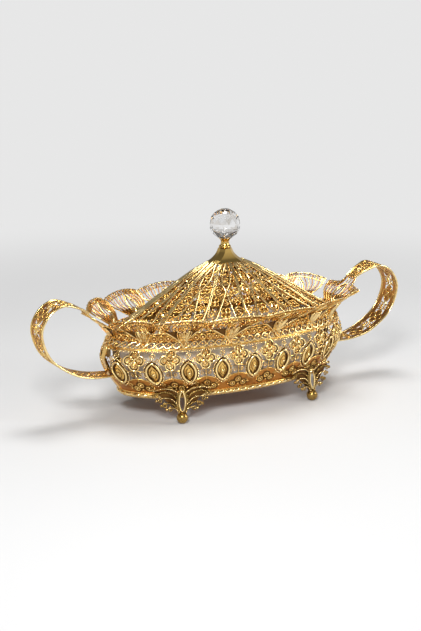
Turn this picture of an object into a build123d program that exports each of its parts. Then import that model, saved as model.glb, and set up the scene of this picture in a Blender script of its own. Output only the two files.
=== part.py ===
from build123d import *
import math
import os

# An oval lidded sweet dish in gilt filigree. Millimetres, +X along the dish, +Z up,
# origin on the table under the middle of the dish.

# ------------------------------------------------------------------ driving dimensions
BELLY_A = 131.0  # half length of the body at its widest
BELLY_B = 57.5  # half width of the body at its widest
SHEET = 1.2  # thickness of the pierced castings

HEM_BOTTOM = 22.0  # underside of the hem ring
WALL_BOTTOM = 28.0
WALL_TOP = 72.0
WAIST_Z = 79.0  # top of the shoulder, where the body is drawn in
WAIST_SCALE = 0.922
# heights up the wall, with the body's plan as a share of the belly's
WALL_LEVELS = [(WALL_BOTTOM, 0.868), (43.0, 0.952), (60.0, 1.0), (WALL_TOP, 0.968)]
SHOULDER_LEVELS = [(WALL_TOP, 0.968), (WAIST_Z, WAIST_SCALE)]

BAYS = 18  # medallions round the wall, with a flower between each two
MEDALLION_Z = 48.8
FLOWER_Z = 62.0
SHOULDER_HOLES = 20

HEM_PROUD = 1.2
HEM_WIDTH = 3.4
BASE_THICKNESS = 1.5
BASE_TOP = 24.3

COLLAR_TOP = 81.5
COLLAR_PROUD = 0.8
COLLAR_WIDTH = 5.8

LINER_WALL = 2.0
LINER_FLOOR = 2.4
# height, half length and half width of the glass liner's outside
LINER_LEVELS = [(BASE_TOP, 106.0, 42.0), (76.0, 114.6, 46.8)]

FANS = 14
# where the fans meet, as shares of a quarter of the plan, from the middle of a side towards an end;
# one more fan stands across each end
FAN_JOINTS = [0.0, 0.36, 0.638, 0.865]
FAN_SHEET = 1.1
FAN_FOOT = 72.6
# heights up a fan, with how far the flared rim stands outside the waist
FAN_LEVELS = [(FAN_FOOT, 5.4, 3.4), (80.5, 1.9, 1.9), (91.0, 10.0, 10.0), (103.0, 26.0, 28.0), (113.0, 32.0, 35.0)]
FAN_SPREAD_Z = 95.0  # where neighbouring fans come together
FAN_CREST = 105.5
FAN_CORNER = 101.0
END_CORNER = 98.5  # height of the two horns of an end fan
END_HORN = 0.45  # how much farther out those horns lean, for each mm above the waist
END_TONGUE = [(10.0, 101.0), (6.5, 109.5), (-6.5, 109.5), (-10.0, 101.0)]  # where the handle meets the fan

LID_PANELS = 12
# where the lid's panels meet, as shares of a quarter of the plan, from the middle of a side to an end
LID_JOINTS = [0.0, 0.38, 0.725, 1.0]
LID_RING_TOP = 84.0
LID_RING_OUT = 1.2  # the lid ring stands in from the waist by this much
LID_LIP_DROP = 2.0
LID_LIP_CLEAR = 0.6
LID_LIP_WIDTH = 2.0
# height up the lid and the half length of its plan there
LID_LEVELS = [(LID_RING_TOP, 117.0), (95.0, 97.0), (107.0, 77.5), (120.5, 55.5), (131.0, 37.0), (139.5, 18.0)]
LID_SLIMNESS = 0.43  # half width over half length
LID_DROP = 1.8  # the panels' inner face is their outer face moved down by this much
# bottom and top of each row of pointed windows in a panel, and how many stand side by side
LID_WINDOWS = [(86.0, 94.4, 2), (96.2, 106.2, 2), (108.4, 119.6, 1), (121.8, 130.4, 1)]
RIB_HEIGHT = 1.5
RIB_WIDTH = 1.6
RIB_TOP = 138.9

CAP_BOTTOM = 139.5
# height, half length and half width of the cap's eight-sided flare
CAP_LEVELS = [(CAP_BOTTOM, 18.6, 9.6), (143.0, 13.2, 8.0), (147.5, 8.6, 6.8), (152.5, 6.2, 6.0)]
NECK_LEVELS = [(152.5, 5.2), (154.0, 6.0), (155.6, 4.8), (158.8, 4.2), (162.6, 7.0)]
NECK_SIDES = 10
BALL_RADIUS = 15.0
BALL_CENTRE = 175.8
BALL_SIDES = 12
BALL_ROWS = 7
BALL_TOP = 72.0  # latitude of the topmost ring of corners, in degrees
STUD_RADIUS = 1.5
STUD_BOTTOM = 135.0
STUD_TOP = 169.0
STUD_CLEARANCE = 0.05
NUT_RADIUS = 3.6
NUT_THICKNESS = 2.4

# the handle's mid-line from the rim, over the top and down to the belly
HANDLE_ROUTE = [(147.0, 107.0), (160.0, 114.3), (176.0, 118.4), (190.5, 110.0), (197.5, 93.0),
                (189.0, 69.5), (168.0, 52.8), (146.0, 45.3), (122.0, 43.5)]
HANDLE_SHEET = 1.6
HANDLE_WIDTH = 28.0
HANDLE_TIP_WIDTH = 12.0
HANDLE_TAIL_WIDTH = 18.0
HANDLE_HOLES = 9
HANDLE_STEPS = 22  # flats along the ribbon

STRAP_WIDTH = 7.0
STRAP_SHEET = 1.0

FOOT_X = 72.5
FOOT_Y = 47.0
FOOT_LEAN = 6.0  # degrees that a foot splays outwards
FOOT_PLATE = 2.4
FOOT_BALL = 5.6
FOOT_PAD = 2.6  # radius of the flat that stands on the table
FOOT_TOP = 37.5
FOOT_BALL_SIDES = 10
FOOT_BALL_LEVELS = [-FOOT_BALL, -3.4, 0.0, 3.4, 5.2]  # heights up the ball from its middle


# ------------------------------------------------------------------ the plan of the dish
def plan_curve(a, b, height):
    with BuildLine(Plane.XY.offset(height)) as belt:
        EllipticalCenterArc((0, 0), a, b, -90, arc_size=360)
    return belt.line


def plan_angle(share):
    """Angle on the plan's ellipse at a share of its length, counted from the front middle."""
    point = plan_curve(BELLY_A, BELLY_B, 0) @ (share % 1.0)
    return math.atan2(point.Y / BELLY_B, point.X / BELLY_A)


def plan_point(angle, a, b):
    return (a * math.cos(angle), b * math.sin(angle))


def outward_plane(x, y, z, a, b):
    """A plane on the oval, facing outwards, with its own Y up."""
    normal = Vector(x / a**2, y / b**2, 0).normalized()
    return Plane(origin=(x, y, z), x_dir=Vector(0, 0, 1).cross(normal), z_dir=normal)


def belt_planes(shares, height, scale):
    a = BELLY_A * scale
    b = BELLY_B * scale
    curve = plan_curve(a, b, height)
    points = [curve @ (share % 1.0) for share in shares]
    return [outward_plane(point.X, point.Y, height, a, b) for point in points]


def oval_loft(levels, inset=0.0):
    """A solid through the scaled ovals at the given heights."""
    with BuildPart() as solid:
        for height, scale in levels:
            with BuildSketch(Plane.XY.offset(height)):
                Ellipse(BELLY_A * scale - inset, BELLY_B * scale - inset)
        loft(ruled=True)
    return solid.part


def oval_ring(bottom, top, a, b, width):
    with BuildPart() as ring:
        with BuildSketch(Plane.XY.offset(bottom)):
            Ellipse(a, b)
            Ellipse(a - width, b - width, mode=Mode.SUBTRACT)
        extrude(amount=top - bottom)
    return ring.part


def level_ring(plane, radius, sides, turn=0.0):
    """Corners of a regular polygon on a level plane, turned by a share of one side."""
    angles = [2 * math.pi * (side + turn) / sides for side in range(sides)]
    return [plane.from_local_coords(Vector(radius * math.cos(angle), radius * math.sin(angle), 0)) for angle in angles]


def flat_face(*corners):
    return Face(Wire.make_polygon(corners))


def flat_sided(rings):
    """A solid with flat faces through closed rings of corners, one above the other."""
    faces = [flat_face(*rings[0]), flat_face(*rings[-1])]
    for low, high in zip(rings, rings[1:]):
        for side in range(len(low)):
            after = (side + 1) % len(low)
            faces.append(flat_face(low[side], low[after], high[after], high[side]))
    return Solid(Shell(faces))


def almond(half_width, half_height):
    """A pointed oval face with three flats a side, standing on its point."""
    waist = 0.45 * half_height
    right = [(0, half_height), (half_width, waist), (half_width, -waist), (0, -half_height)]
    left = [(-half_width, -waist), (-half_width, waist)]
    with BuildSketch() as face:
        Polygon(*right, *left, align=None)
    return face.sketch


# ------------------------------------------------------------------ body
def medallion_window():
    """The gap round a medallion's almond, which hangs on its two points."""
    with BuildSketch() as window:
        add(almond(7.0, 10.2))
        add(almond(4.2, 7.4), mode=Mode.SUBTRACT)
        Rectangle(2.0, 22.0, mode=Mode.SUBTRACT)
    return window.sketch


def flower_window():
    """Four petals that open into each other."""
    petals = [(8.4, 0), (2.3, 2.3), (0, 8.4), (-2.3, 2.3), (-8.4, 0), (-2.3, -2.3), (0, -8.4), (2.3, -2.3)]
    with BuildSketch() as window:
        Polygon(*petals, align=None)
    return window.sketch


def pierced_shell(levels, windows):
    """A thin oval shell with windows, each a list of planes and the face cut there."""
    outer = oval_loft(levels)
    inner = oval_loft(levels, SHEET)
    with BuildPart() as shell:
        add(outer)
        add(inner, mode=Mode.SUBTRACT)
        for planes, window in windows:
            with BuildSketch(*planes):
                add(window)
            extrude(amount=5 * SHEET, both=True, mode=Mode.SUBTRACT)
    return shell.part


def body_walls():
    medallions = belt_planes([bay / BAYS for bay in range(BAYS)], MEDALLION_Z, 0.973)
    flower_bays = [bay + 0.5 for bay in range(BAYS) if bay % 9 != 4]
    flowers = belt_planes([bay / BAYS for bay in flower_bays], FLOWER_Z, 1.0)
    shell = pierced_shell(WALL_LEVELS, [(medallions, medallion_window()), (flowers, flower_window())])
    walls = {}
    for name, keep in (("body_wall_front", Keep.BOTTOM), ("body_wall_back", Keep.TOP)):
        with BuildPart() as half:
            add(shell)
            split(bisect_by=Plane(origin=(0, 0, 0), z_dir=(0, 1, 0)), keep=keep)
        walls[name] = half.part
    return walls


def shoulder_band():
    middle = (WALL_TOP + WAIST_Z) / 2
    planes = belt_planes([(hole + 0.5) / SHOULDER_HOLES for hole in range(SHOULDER_HOLES)], middle, 0.945)
    with BuildSketch() as hole:
        Polygon((5.0, 0), (0, 2.4), (-5.0, 0), (0, -2.4), align=None)
    return pierced_shell(SHOULDER_LEVELS, [(planes, hole.sketch)])


def hem_ring():
    scale = WALL_LEVELS[0][1]
    return oval_ring(HEM_BOTTOM, WALL_BOTTOM, BELLY_A * scale + HEM_PROUD, BELLY_B * scale + HEM_PROUD, HEM_WIDTH)


def base_plate():
    scale = WALL_LEVELS[0][1]
    inset = HEM_WIDTH - HEM_PROUD
    with BuildPart() as plate:
        with BuildSketch(Plane.XY.offset(BASE_TOP - BASE_THICKNESS)):
            Ellipse(BELLY_A * scale - inset, BELLY_B * scale - inset)
        extrude(amount=BASE_THICKNESS)
    return plate.part


def waist_collar():
    a = BELLY_A * WAIST_SCALE + COLLAR_PROUD
    b = BELLY_B * WAIST_SCALE + COLLAR_PROUD
    return oval_ring(WAIST_Z, COLLAR_TOP, a, b, COLLAR_WIDTH)


def glass_liner():
    with BuildPart() as liner:
        for height, a, b in LINER_LEVELS:
            with BuildSketch(Plane.XY.offset(height)):
                Ellipse(a, b)
        loft(ruled=True)
        for height, a, b in LINER_LEVELS:
            floor = LINER_FLOOR if height == BASE_TOP else 0
            with BuildSketch(Plane.XY.offset(height + floor)):
                Ellipse(a - LINER_WALL, b - LINER_WALL)
        loft(ruled=True, mode=Mode.SUBTRACT)
    return liner.part


def end_strap(side, wall_solid):
    """The plain strip that covers the seam of the two walls at one end."""
    outside = [(BELLY_A * scale + STRAP_SHEET, height) for height, scale in WALL_LEVELS]
    inside = [(BELLY_A * scale - STRAP_SHEET, height) for height, scale in reversed(WALL_LEVELS)]
    with BuildPart() as strap:
        with BuildSketch(Plane.XZ):
            with BuildLine():
                Polyline(*[(side * x, z) for x, z in outside + inside], close=True)
            make_face()
        extrude(amount=STRAP_WIDTH / 2, both=True)
        add(wall_solid, mode=Mode.SUBTRACT)
    return strap.part


# ------------------------------------------------------------------ rim
def fan_shares():
    """Shares of the whole plan at which the fans meet, from the front middle round."""
    front = [share / 4 for share in FAN_JOINTS]
    half = front + [0.5 - share for share in reversed(front[1:])]
    return half + [0.5 + share for share in half] + [1.0]


def fan_outline(left, right, at_end):
    """The leaf seen square on, from its stem up to its rounded crest or its tongue and horns."""
    corner_z = END_CORNER if at_end else FAN_CORNER
    reach = 1.25
    left_corner = (left * reach, corner_z)
    right_corner = (right * reach, corner_z)
    with BuildSketch() as leaf:
        with BuildLine():
            Polyline(left_corner, (left, FAN_SPREAD_Z), (-4.5, 81.0), (-3.0, FAN_FOOT), (3.0, FAN_FOOT), (4.5, 81.0),
                     (right, FAN_SPREAD_Z), right_corner)
            if at_end:
                Polyline(right_corner, *END_TONGUE, left_corner)
            else:
                ThreePointArc(right_corner, (0, FAN_CREST), left_corner)
        make_face()
    return leaf.sketch


def rim_fan(number, seats):
    """One fan of the flared rim: a creased sheet, cut to a leaf that stands on its stem."""
    shares = fan_shares()
    middle = (shares[number] + shares[number + 1]) / 2
    angles = [plan_angle(share) for share in (shares[number] + 1e-6, middle, shares[number + 1] - 1e-6)]
    at_end = abs(math.cos(angles[1])) > 0.99
    waist_a = BELLY_A * WAIST_SCALE
    waist_b = BELLY_B * WAIST_SCALE
    waist_z = FAN_LEVELS[1][0]
    foot = plan_point(angles[1], waist_a, waist_b)
    facing = outward_plane(foot[0], foot[1], 0, waist_a, waist_b)
    spread = [facing.to_local_coords(Vector(*plan_point(angle, waist_a + 16, waist_b + 17), 0)).X for angle in angles]
    left, right = min(spread), max(spread)
    with BuildPart() as fan:
        for height, out_a, out_b in FAN_LEVELS:
            horn = END_HORN * max(0.0, height - waist_z) if at_end else 0.0
            outer = []
            inner = []
            for angle, lean in zip(angles, (horn, 0.0, horn)):
                a = waist_a + out_a + lean
                b = waist_b + out_b + lean
                outer.append(plan_point(angle, a, b))
                inner.insert(0, plan_point(angle, a - FAN_SHEET, b - FAN_SHEET))
            with BuildSketch(Plane.XY.offset(height)):
                with BuildLine():
                    Polyline(*outer, *inner, close=True)
                make_face()
        loft(ruled=True)
        with BuildSketch(facing):
            add(fan_outline(left, right, at_end))
        extrude(amount=60, both=True, mode=Mode.INTERSECT)
        with BuildSketch(facing):
            with Locations((0, 92.5)):
                add(almond(4.4, 7.6))
        extrude(amount=60, both=True, mode=Mode.SUBTRACT)
        for seat in seats:
            add(seat, mode=Mode.SUBTRACT)
    return fan.part


# ------------------------------------------------------------------ handles
def handle_plan(x0, half0, x1, side):
    """Half of a handle seen from above: it widens from x0 to x1 and stays wide."""
    half1 = HANDLE_WIDTH / 2
    far = 205.0
    points = [(x0, -half0), (x1, -half1), (far, -half1), (far, half1), (x1, half1), (x0, half0)]
    with BuildSketch() as plan:
        Polygon(*[(side * x, y) for x, y in points], align=None)
    return plan.sketch


def beside_route(mid_line, distance):
    """Points at a distance from the handle's line, on its hollow side if positive."""
    points = []
    for step in range(HANDLE_STEPS + 1):
        share = step / HANDLE_STEPS
        slope = mid_line % share
        points.append(mid_line @ share + Vector(slope.Y, -slope.X) * distance)
    return [(point.X, point.Y) for point in points]


def handle(side, seats):
    with BuildLine() as route:
        Spline(*HANDLE_ROUTE)
    mid_line = route.line
    outside = [(side * x, z) for x, z in beside_route(mid_line, -HANDLE_SHEET / 2)]
    inside = [(side * x, z) for x, z in beside_route(mid_line, HANDLE_SHEET / 2)]
    top_z = 88.0
    with BuildPart() as ribbon:
        with BuildSketch(Plane.XZ):
            with BuildLine():
                Polyline(*outside, *reversed(inside), close=True)
            make_face()
        extrude(amount=HANDLE_WIDTH / 2, both=True)
    upper = handle_plan(140.0, HANDLE_TIP_WIDTH / 2, 172.0, side)
    lower = handle_plan(118.0, HANDLE_TAIL_WIDTH / 2 - 1, 160.0, side)
    with BuildPart() as widths:
        with BuildSketch(Plane.XY.offset(top_z)):
            add(upper)
        extrude(amount=50)
        with BuildSketch(Plane.XY.offset(top_z)):
            add(lower)
        extrude(amount=-60)
    hole_planes = []
    for hole in range(HANDLE_HOLES):
        share = 0.13 + 0.72 * hole / (HANDLE_HOLES - 1)
        point = mid_line @ share
        slope = mid_line % share
        normal = Vector(-side * slope.Y, 0, slope.X)
        hole_planes.append(Plane(origin=(side * point.X, 0, point.Y), x_dir=(0, 1, 0), z_dir=normal))
    with BuildPart() as piece:
        add(ribbon.part)
        add(widths.part, mode=Mode.INTERSECT)
        with BuildSketch(*hole_planes):
            Polygon((0, 6.4), (9.0, 0), (0, -6.4), (-9.0, 0), align=None)
        extrude(amount=5, both=True, mode=Mode.SUBTRACT)
        for seat in seats:
            add(seat, mode=Mode.SUBTRACT)
    with BuildPart() as kept:
        add(piece.part.solids().sort_by(SortBy.VOLUME)[-1])
    return kept.part


# ------------------------------------------------------------------ feet
def foot(x_side, y_side, seats):
    """A pierced winged bracket that ends in a ball."""
    normal = Vector(x_side * FOOT_X / BELLY_A**2, y_side * FOOT_Y / BELLY_B**2, 0).normalized()
    across = Vector(0, 0, 1).cross(normal)
    lean = math.radians(FOOT_LEAN)
    up = Vector(0, 0, 1) * math.cos(lean) - normal * math.sin(lean)
    origin = Vector(x_side * FOOT_X, y_side * FOOT_Y, FOOT_BALL)
    face = Plane(origin=origin, x_dir=across, z_dir=across.cross(up))
    with BuildPart() as piece:
        with BuildSketch(face):
            for side in (1, -1):
                half = [(0, 2), (3.0, 2), (4.0, 6.5), (8.5, 10.5), (14.5, 8.0), (18.0, 10.0), (18.5, 14.5),
                        (24.0, 14.0), (26.5, 16.5), (25.5, 20.5), (29.0, 21.5), (28.0, 27.5), (7.0, 28.0),
                        (0, FOOT_TOP - FOOT_BALL)]
                Polygon(*[(side * x, y) for x, y in half], align=None)
            with Locations((0, 14.8)):
                add(almond(2.2, 8.5), mode=Mode.SUBTRACT)
            for side in (1, -1):
                Polygon((side * 5.5, 15.0), (side * 13.0, 16.5), (side * 8.0, 24.0), align=None, mode=Mode.SUBTRACT)
                Polygon((side * 16.0, 19.0), (side * 23.0, 21.0), (side * 14.0, 24.5), align=None, mode=Mode.SUBTRACT)
        extrude(amount=FOOT_PLATE / 2, both=True)
        for seat in seats:
            add(seat, mode=Mode.SUBTRACT)
        rings = []
        for height in FOOT_BALL_LEVELS:
            radius = FOOT_PAD if height == -FOOT_BALL else math.sqrt(FOOT_BALL**2 - height**2)
            level = Plane(origin=origin + Vector(0, 0, height), x_dir=across, z_dir=(0, 0, 1))
            rings.append(level_ring(level, radius, FOOT_BALL_SIDES))
        add(flat_sided(rings))
    return piece.part


# ------------------------------------------------------------------ lid
def lid_length(height):
    """Half length of the lid's plan at a height, between the levels that shape it."""
    for (low, wide), (high, narrow) in zip(LID_LEVELS, LID_LEVELS[1:]):
        if height <= high:
            return wide + (narrow - wide) * (height - low) / (high - low)
    return LID_LEVELS[-1][1] - (height - LID_LEVELS[-1][0]) * 2.2


def lid_base_ring():
    waist_a = BELLY_A * WAIST_SCALE
    waist_b = BELLY_B * WAIST_SCALE
    lip_inset = COLLAR_WIDTH - COLLAR_PROUD + LID_LIP_CLEAR
    width = lip_inset + LID_LIP_WIDTH - LID_RING_OUT
    ring = oval_ring(COLLAR_TOP, LID_RING_TOP, waist_a - LID_RING_OUT, waist_b - LID_RING_OUT, width)
    lip = oval_ring(COLLAR_TOP - LID_LIP_DROP, COLLAR_TOP, waist_a - lip_inset, waist_b - lip_inset, LID_LIP_WIDTH)
    with BuildPart() as piece:
        add(ring)
        add(lip)
    return piece.part


def lid_shares():
    """Shares of the whole plan at which the panels meet, from the front middle round."""
    quarter = [share / 4 for share in LID_JOINTS]
    half = quarter + [0.5 - share for share in reversed(quarter[:-1])]
    return half + [0.5 + share for share in half[1:]]


def lid_corner(angle, level):
    height, length = level
    return Vector(*plan_point(angle, length, length * LID_SLIMNESS), height)


def lid_window(corners, face):
    """A lozenge between four corners: low left, low right, high right and high left."""
    low_left, low_right, high_right, high_left = [face.to_local_coords(corner) for corner in corners]
    outline = [(low_left + low_right) / 2, (low_right + high_right) / 2, (high_left + high_right) / 2,
               (low_left + high_left) / 2]
    return Polygon(*[(point.X, point.Y) for point in outline], align=None)


def lid_panel(number):
    """One pierced gore of the lid, flat between its two ribs at each level."""
    shares = lid_shares()
    angles = [plan_angle(share) for share in (shares[number] + 1e-6, shares[number + 1] - 1e-6)]
    rings = []
    for height, length in LID_LEVELS:
        inner_level = (height, lid_length(height + LID_DROP))
        outer = [lid_corner(angle, (height, length)) for angle in angles]
        inner = [lid_corner(angle, inner_level) for angle in reversed(angles)]
        rings.append(outer + inner)
    side = rings[0][1] - rings[0][0]
    up = rings[3][0] + rings[3][1] - rings[0][0] - rings[0][1]
    face = Plane(origin=rings[0][0], x_dir=side, z_dir=side.cross(up))
    with BuildPart() as panel:
        add(flat_sided(rings))
        with BuildSketch(face):
            for bottom, top, count in LID_WINDOWS:
                edges = [[lid_corner(angle, (z, lid_length(z))) for angle in angles] for z in (bottom, top)]
                for window in range(count):
                    low, high = [(left + (right - left) * (window + 0.15) / count,
                                  left + (right - left) * (window + 0.85) / count) for left, right in edges]
                    lid_window([low[0], low[1], high[1], high[0]], face)
        extrude(amount=20, both=True, mode=Mode.SUBTRACT)
    return panel.part


def lid_rib(share):
    """A raised wire over the seam between two panels."""
    angle = plan_angle(share)
    levels = LID_LEVELS[:-1] + [(RIB_TOP, lid_length(RIB_TOP))]
    corners = [lid_corner(angle, level) for level in levels]
    heading = Vector(corners[0].X, corners[0].Y, 0).normalized()
    seam = [(Vector(corner.X, corner.Y, 0).length, corner.Z) for corner in corners]
    foot_r, foot_z = seam[0]
    top_r, top_z = seam[-1]
    middle = [(r, z + RIB_HEIGHT) for r, z in seam[1:-1]]
    crest = [(foot_r + RIB_HEIGHT, foot_z)] + middle + [(top_r, top_z + RIB_HEIGHT / 3)]
    upright = Plane(origin=(0, 0, 0), x_dir=heading, z_dir=heading.cross(Vector(0, 0, 1)))
    along = Vector(math.sin(angle), -LID_SLIMNESS * math.cos(angle), 0).normalized()
    with BuildPart() as rib:
        with BuildSketch(upright):
            with BuildLine():
                Polyline(*seam, *reversed(crest), close=True)
            make_face()
        extrude(amount=RIB_WIDTH / 2, dir=along, both=True)
    return rib.part


def lid_ribs():
    return Compound(children=[lid_rib(share) for share in lid_shares()[:-1]])


def eight_sided(height, half_length, half_width):
    """The corners of an oblong with its corners cut off square, at a height."""
    chamfer = 0.6 * half_width
    cut_x = half_length - chamfer
    cut_y = half_width - chamfer
    right = [(cut_x, -half_width), (half_length, -cut_y), (half_length, cut_y), (cut_x, half_width)]
    left = [(-x, -y) for x, y in right]
    return [Vector(x, y, height) for x, y in right + left]


def stud_hole(bottom, top):
    with BuildPart() as hole:
        with BuildSketch(Plane.XY.offset(bottom)):
            Circle(STUD_RADIUS + STUD_CLEARANCE)
        extrude(amount=top - bottom)
    return hole.part


def lid_cap():
    hole = stud_hole(CAP_BOTTOM, CAP_LEVELS[-1][0])
    with BuildPart() as cap:
        add(flat_sided([eight_sided(*level) for level in CAP_LEVELS]))
        add(hole, mode=Mode.SUBTRACT)
    return cap.part


def knob_neck():
    hole = stud_hole(NECK_LEVELS[0][0], NECK_LEVELS[-1][0])
    with BuildPart() as neck:
        add(flat_sided([level_ring(Plane.XY.offset(height), radius, NECK_SIDES) for height, radius in NECK_LEVELS]))
        add(hole, mode=Mode.SUBTRACT)
    return neck.part


def crystal_ball():
    """A ball cut in staggered rows of triangles, flat where it stands on the neck."""
    seat = NECK_LEVELS[-1][0]
    bottom = math.degrees(math.asin((seat - BALL_CENTRE) / BALL_RADIUS))
    rings = []
    for row in range(BALL_ROWS):
        latitude = math.radians(bottom + (BALL_TOP - bottom) * row / (BALL_ROWS - 1))
        level = Plane.XY.offset(BALL_CENTRE + BALL_RADIUS * math.sin(latitude))
        rings.append(level_ring(level, BALL_RADIUS * math.cos(latitude), BALL_SIDES, 0.5 * (row % 2)))
    faces = [flat_face(*rings[0]), flat_face(*rings[-1])]
    for row in range(BALL_ROWS - 1):
        for side in range(BALL_SIDES):
            after = (side + 1) % BALL_SIDES
            low, low_after = rings[row][side], rings[row][after]
            high, high_after = rings[row + 1][side], rings[row + 1][after]
            # a row that is turned by half a side leans the other way
            lower_tip, upper_tip = (high_after, low) if row % 2 else (high, low_after)
            faces.append(flat_face(low, low_after, lower_tip))
            faces.append(flat_face(high, high_after, upper_tip))
    with BuildPart() as ball:
        add(Solid(Shell(faces)))
        add(stud_hole(seat, STUD_TOP), mode=Mode.SUBTRACT)
    return ball.part


def knob_stud():
    with BuildPart() as stud:
        with BuildSketch(Plane.XY.offset(STUD_BOTTOM)):
            Circle(STUD_RADIUS)
        extrude(amount=STUD_TOP - STUD_BOTTOM)
    return stud.part


def knob_nut():
    with BuildPart() as nut:
        with BuildSketch(Plane.XY.offset(CAP_BOTTOM - NUT_THICKNESS)):
            RegularPolygon(NUT_RADIUS, 6)
            Circle(STUD_RADIUS, mode=Mode.SUBTRACT)
        extrude(amount=NUT_THICKNESS)
    return nut.part


# ------------------------------------------------------------------ assembly
def dish_pieces():
    pieces = body_walls()
    pieces["shoulder_band"] = shoulder_band()
    pieces["hem_ring"] = hem_ring()
    pieces["base_plate"] = base_plate()
    pieces["waist_collar"] = waist_collar()
    pieces["glass_liner"] = glass_liner()
    wall_solid = oval_loft(WALL_LEVELS)
    shoulder_solid = oval_loft(SHOULDER_LEVELS)
    collar = pieces["waist_collar"]
    for number in range(FANS):
        pieces[f"rim_fan_{number + 1:02d}"] = rim_fan(number, [wall_solid, shoulder_solid, collar])
    end_fans = {1: "rim_fan_04", -1: "rim_fan_11"}
    for name, side in (("right", 1), ("left", -1)):
        strap = end_strap(side, wall_solid)
        pieces[f"end_strap_{name}"] = strap
        pieces[f"handle_{name}"] = handle(side, [wall_solid, strap, pieces[end_fans[side]]])
    for y_name, y_side in (("front", -1), ("back", 1)):
        for x_name, x_side in (("left", -1), ("right", 1)):
            pieces[f"foot_{y_name}_{x_name}"] = foot(x_side, y_side, [wall_solid, pieces["hem_ring"]])
    return pieces


def lid_pieces():
    panels = [lid_panel(number) for number in range(LID_PANELS)]
    pieces = {f"lid_panel_{number + 1:02d}": panel for number, panel in enumerate(panels)}
    pieces["lid_base_ring"] = lid_base_ring()
    pieces["lid_ribs"] = lid_ribs()
    pieces["lid_cap"] = lid_cap()
    pieces["knob_neck"] = knob_neck()
    pieces["crystal_ball"] = crystal_ball()
    pieces["knob_stud"] = knob_stud()
    pieces["knob_nut"] = knob_nut()
    return pieces


def main():
    os.makedirs("parts", exist_ok=True)
    for name, piece in {**dish_pieces(), **lid_pieces()}.items():
        piece.label = name
        export_step(piece, f"parts/{name}.step")


main()
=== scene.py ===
import bpy
import math
import numpy as np
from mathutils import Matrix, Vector


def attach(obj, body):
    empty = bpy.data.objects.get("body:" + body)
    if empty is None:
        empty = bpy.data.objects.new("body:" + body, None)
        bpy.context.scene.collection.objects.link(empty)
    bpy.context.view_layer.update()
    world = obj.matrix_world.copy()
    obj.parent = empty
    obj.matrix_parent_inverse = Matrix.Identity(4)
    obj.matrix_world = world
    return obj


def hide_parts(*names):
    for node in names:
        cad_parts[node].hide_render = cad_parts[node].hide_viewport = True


# The looks of an oval lidded sweet dish in gilt filigree. Lengths on the dish are millimetres in the
# frame's own axes, and MM turns them into metres where a mesh is made. Lengths in the materials and in
# the studio are metres.

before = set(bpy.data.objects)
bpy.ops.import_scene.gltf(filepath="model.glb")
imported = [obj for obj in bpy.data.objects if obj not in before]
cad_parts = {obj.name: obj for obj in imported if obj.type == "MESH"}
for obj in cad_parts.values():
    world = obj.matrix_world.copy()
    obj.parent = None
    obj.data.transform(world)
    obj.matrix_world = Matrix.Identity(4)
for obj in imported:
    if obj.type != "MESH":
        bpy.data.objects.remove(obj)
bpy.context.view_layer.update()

MM = 0.001

# ------------------------------------------------------------------ belly
BELLY_A = 131.0  # half the belly's length
BELLY_B = 57.5  # half the belly's width
WALL_BOTTOM = 28.0
WALL_TOP = 72.0
SHOULDER_TOP = 79.0
WAIST_SHARE = 0.922
# heights up the belly and the plan's share of the belly there
BELLY_LEVELS = [(WALL_BOTTOM, 0.868), (43.0, 0.952), (60.0, 1.0), (WALL_TOP, 0.968),
                (SHOULDER_TOP, WAIST_SHARE)]
WAIST_A = BELLY_A * WAIST_SHARE
WAIST_B = BELLY_B * WAIST_SHARE
BAYS = 18  # in each half of the belly, with a medallion or a flower between two of them
SEAM_GAP = 0.0006  # left free at each end of a half, as a share of the way round
BAND_TOP = 41.5  # middle height of the coppery band's scalloped edge
BAND_WAVE = 2.2
WALL_BEADS = 150
MEDALLION_Z = 48.8
FLOWER_Z = 62.0
FLOWER_SIZE = 1.18
FLOWER_WIRE = 0.85
BRAID_TWISTS = 36
# heights of the lace in front of the collar, and how far it stands outside the waist
LACE_LEVELS = [(78.6, 1.3), (86.4, 3.0)]
LACE_Z = 82.2
LACE_ROSETTES = 88
HEM_PROUD = 1.2
# heights up the hem's moulding, and how far it lies inside its fullest line
HEM_LEVELS = [(22.0, 2.4), (23.4, 0.6), (25.0, 0.0), (27.0, 0.5), (WALL_BOTTOM, 1.3)]
HEM_DROP_Z = 25.2
HEM_DROPS = 66
HEM_TWISTS = 130

# ------------------------------------------------------------------ rim
# where the leaves meet, as shares of a quarter of the plan; one more leaf stands across each end
FAN_JOINTS = [0.0, 0.36, 0.638, 0.865]
FAN_SHEET = 1.1
FAN_FOOT = 72.6
HORN_FOOT = 80.5
# heights up the flared rim, and how far it stands outside the waist along and across
RIM_LEVELS = [(FAN_FOOT, 5.4, 3.4), (HORN_FOOT, 1.9, 1.9), (91.0, 10.0, 10.0), (103.0, 26.0, 28.0),
              (113.0, 32.0, 35.0)]
FAN_NECK_Z = 81.0  # where a leaf starts to spread from its stem
FAN_SPREAD_Z = 95.0  # where it meets the next leaf
FAN_CORNER = 101.0
FAN_CREST = 105.5
CORNER_SPREAD = 1.25  # a leaf's half width at its corner, as a share of that where it meets the next
END_TONGUE = 109.5  # top of the tongue that the handle meets
TONGUE_HALF = 6.5
TONGUE_FOOT_HALF = 10.0
END_CORNER = 98.5  # height of an end leaf's two horns
END_HORN = 0.45  # how much farther out those horns lean, for each mm above their foot
STEM_BOTTOM = 72.8
STEM_TOP = 80.0
STEM_HALF = 3.0
NECK_HALF = 4.5
LEAF_WIRES = 7  # on each side of a leaf's opening
OPENING_FOOT = 84.6
OPENING_TOP = 100.2
OPENING_HALF = 5.0
PETAL_FOOT = 74.0
PETAL_HEIGHT = 18.0
PETAL_HALF = 2.3
PETAL_LEAN = 5.4
HOLLOW_FOOT = 78.0
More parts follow.
